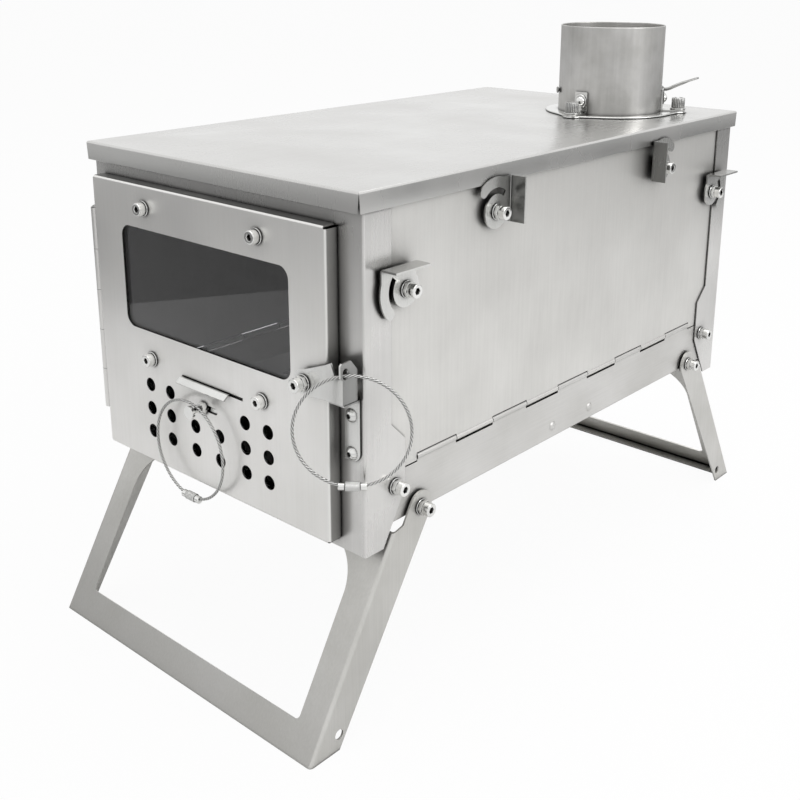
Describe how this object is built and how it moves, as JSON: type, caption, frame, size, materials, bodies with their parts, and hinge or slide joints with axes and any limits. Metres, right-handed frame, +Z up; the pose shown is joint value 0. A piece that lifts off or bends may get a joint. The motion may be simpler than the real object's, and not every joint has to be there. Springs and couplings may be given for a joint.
{
  "type": "tent wood stove",
  "caption": "Fold-down sheet-metal tent stove on two swinging legs, with glazed door, air slider, lift-off lid on turn latches, and flue spigot with damper.",
  "frame": {"origin": "on the floor, midway between the front and the rear feet, in the body's middle plane", "axes": "+X to the right seen from the door end, -Y towards the door, +Z up"},
  "size_m": [0.2398, 0.437, 0.333],
  "materials": {
    "tray_metal": "satin",
    "panel_metal": "satin",
    "wall_metal": "satin",
    "grate_metal": "satin",
    "screw_metal": "bright",
    "hinge_metal": "satin",
    "lid_metal": "satin",
    "flue_metal": "satin",
    "door_metal": "satin",
    "window": "smoky, glossy",
    "cable_metal": "bright",
    "leg_metal": "satin",
    "latch_metal": "satin"
  },
  "bodies": {
    "root": {"bottom_tray": "tray_metal", "side_panel_right": "panel_metal", "side_panel_left": "panel_metal", "hinge_rods": "screw_metal", "front_wall": "wall_metal", "rear_wall": "wall_metal", "fire_grate": "grate_metal", "wall_screws": "screw_metal", "leg_pivot_screws": "screw_metal", "top_latch_screws": "screw_metal", "corner_latch_screws": "screw_metal", "door_hinge_leaf": "hinge_metal", "door_hinge_pin": "screw_metal", "door_hinge_screws": "screw_metal", "latch_strike": "hinge_metal", "strike_screws": "screw_metal"},
    "lid": {"lid": "lid_metal", "flue_spigot": "flue_metal", "flue_collar": "flue_metal", "flue_brackets": "flue_metal", "bracket_bolts": "screw_metal", "collar_thumb_screws": "screw_metal"},
    "flue_damper": {"damper_blade": "flue_metal", "damper_rod": "screw_metal"},
    "door": {"door_panel": "door_metal", "window_glass": "window", "glass_clamps": "hinge_metal", "glass_screws": "screw_metal", "door_knuckle_leaf": "hinge_metal", "latch_pivot_screw": "screw_metal"},
    "air_slider": {"air_slider": "door_metal", "slider_pull_screw": "screw_metal"},
    "pull_ring": {"pull_ring_cable": "cable_metal", "pull_ring_barrel": "cable_metal"},
    "door_latch": {"door_latch": "door_metal"},
    "latch_ring": {"latch_ring_cable": "cable_metal", "latch_ring_barrel": "cable_metal"},
    "leg_front": {"leg_front": "leg_metal"},
    "leg_rear": {"leg_rear": "leg_metal"},
    "top_latch_front_right": {"top_latch_front_right": "latch_metal"},
    "top_latch_front_left": {"top_latch_front_left": "latch_metal"},
    "top_latch_rear_right": {"top_latch_rear_right": "latch_metal"},
    "top_latch_rear_left": {"top_latch_rear_left": "latch_metal"},
    "corner_latch_front_right": {"corner_latch_front_right": "latch_metal"},
    "corner_latch_front_left": {"corner_latch_front_left": "latch_metal"},
    "corner_latch_rear_right": {"corner_latch_rear_right": "latch_metal"},
    "corner_latch_rear_left": {"corner_latch_rear_left": "latch_metal"}
  },
  "joints": [
    {"name": "lid_lift", "type": "slide", "parent": "root", "child": "lid", "axis": [0, 0, 1], "range_m": [0, 0.05]},
    {"name": "damper_turn", "type": "hinge", "parent": "lid", "child": "flue_damper", "pos_m": [0.042, 0.1235, 0.29105], "axis": [0.7071, 0.7071, 0], "range_deg": [0, 90]},
    {"name": "door_swing", "type": "hinge", "parent": "root", "child": "door", "pos_m": [-0.1015, -0.181, 0.18], "axis": [0, 0, -1], "range_deg": [0, 110]},
    {"name": "air_slide", "type": "slide", "parent": "door", "child": "air_slider", "axis": [1, 0, 0], "range_m": [0, 0.009]},
    {"name": "pull_ring_swing", "type": "hinge", "parent": "air_slider", "child": "pull_ring", "pos_m": [-0.00605, -0.1916, 0.1465], "axis": [0, 1, 0], "range_deg": [-45, 45]},
    {"name": "door_latch_lift", "type": "hinge", "parent": "door", "child": "door_latch", "pos_m": [0.0752, -0.188, 0.183], "axis": [0, -1, 0], "range_deg": [0, 20]},
    {"name": "latch_ring_swing", "type": "hinge", "parent": "door_latch", "child": "latch_ring", "pos_m": [0.1005, -0.187, 0.1921], "axis": [-0.7547, -0.6561, 0], "range_deg": [0, 80]},
    {"name": "leg_front_fold", "type": "hinge", "parent": "root", "child": "leg_front", "pos_m": [0, -0.1385, 0.1095], "axis": [1, 0, 0], "range_deg": [0, 120]},
    {"name": "leg_rear_fold", "type": "hinge", "parent": "root", "child": "leg_rear", "pos_m": [0, 0.1385, 0.1095], "axis": [-1, 0, 0], "range_deg": [0, 120]},
    {"name": "top_latch_front_right_turn", "type": "hinge", "parent": "root", "child": "top_latch_front_right", "pos_m": [0.1058, -0.0835, 0.2525], "axis": [1, 0, 0], "range_deg": [0, 90]},
    {"name": "top_latch_front_left_turn", "type": "hinge", "parent": "root", "child": "top_latch_front_left", "pos_m": [-0.1058, -0.0835, 0.2525], "axis": [1, 0, 0], "range_deg": [0, 90]},
    {"name": "top_latch_rear_right_turn", "type": "hinge", "parent": "root", "child": "top_latch_rear_right", "pos_m": [0.1058, 0.0835, 0.2525], "axis": [-1, 0, 0], "range_deg": [0, 90]},
    {"name": "top_latch_rear_left_turn", "type": "hinge", "parent": "root", "child": "top_latch_rear_left", "pos_m": [-0.1058, 0.0835, 0.2525], "axis": [-1, 0, 0], "range_deg": [0, 90]},
    {"name": "corner_latch_front_right_turn", "type": "hinge", "parent": "root", "child": "corner_latch_front_right", "pos_m": [0.1058, -0.1515, 0.227], "axis": [-1, 0, 0], "range_deg": [0, 90]},
    {"name": "corner_latch_front_left_turn", "type": "hinge", "parent": "root", "child": "corner_latch_front_left", "pos_m": [-0.1058, -0.1515, 0.227], "axis": [-1, 0, 0], "range_deg": [0, 90]},
    {"name": "corner_latch_rear_right_turn", "type": "hinge", "parent": "root", "child": "corner_latch_rear_right", "pos_m": [0.1058, 0.1515, 0.227], "axis": [1, 0, 0], "range_deg": [0, 90]},
    {"name": "corner_latch_rear_left_turn", "type": "hinge", "parent": "root", "child": "corner_latch_rear_left", "pos_m": [-0.1058, 0.1515, 0.227], "axis": [1, 0, 0], "range_deg": [0, 90]}
  ]
}
